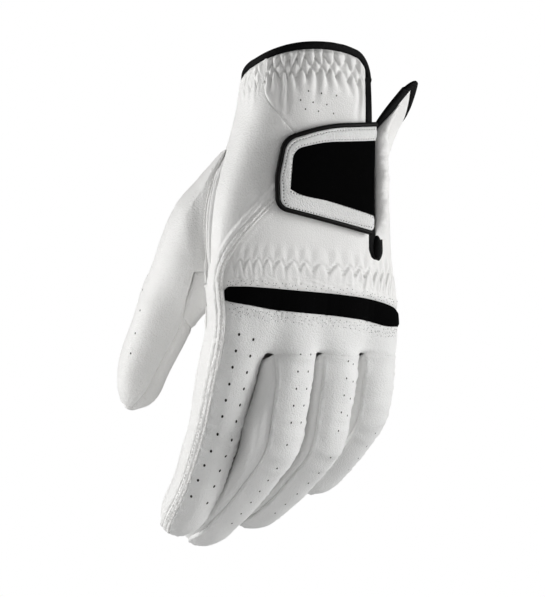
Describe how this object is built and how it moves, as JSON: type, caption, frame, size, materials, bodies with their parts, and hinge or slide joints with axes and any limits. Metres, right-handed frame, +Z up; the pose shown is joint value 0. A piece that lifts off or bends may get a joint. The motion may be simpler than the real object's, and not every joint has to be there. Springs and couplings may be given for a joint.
{
  "type": "golf glove",
  "caption": "Left-hand golf glove of white leather with black bindings, a slit at the back of the wrist and a hook-and-loop closing tab.",
  "frame": {"origin": "middle of the wrist opening, level with the hem's highest point", "axes": "+Z up out of the cuff along the forearm, fingers towards -Z; -Y is the back of the hand, +Y the palm; -X the thumb side"},
  "size_m": [0.1003, 0.0881, 0.2016],
  "materials": {
    "white_leather": "soft matt white glove leather",
    "black_binding": "black folded edge binding",
    "grey_knit": "fine pale stretch knit",
    "elastic_tape": "woven white elastic",
    "black_face": "smooth black facing, plain",
    "hook_tape": "moulded nylon hooks",
    "loop_tape": "brushed nylon loops"
  },
  "bodies": {
    "glove": {"back_panel": "white_leather", "finger_back_panel": "white_leather", "knuckle_band": "black_binding", "index_side_panel": "white_leather", "palm_panel": "white_leather", "index_middle_fourchette": "grey_knit", "middle_ring_fourchette": "grey_knit", "ring_little_fourchette": "grey_knit", "thumb_back_panel": "white_leather", "thumb_gusset": "white_leather", "thumb_front_panel": "white_leather", "wrist_binding": "black_binding", "slit_binding": "black_binding", "flap_edge_roll": "white_leather", "cuff_elastic": "elastic_tape", "knuckle_elastic": "elastic_tape", "palm_elastic": "elastic_tape", "loop_patch": "loop_tape"},
    "tab": {"tab_base": "white_leather", "tab_frame": "white_leather", "tab_panel": "black_face", "hook_patch": "hook_tape", "tab_piping": "black_binding"}
  },
  "joints": [
    {"name": "tab_peel", "type": "hinge", "parent": "glove", "child": "tab", "pos_m": [0.0205, -0.0215, -0.055], "axis": [0, 0, 1], "range_deg": [0, 150]}
  ]
}
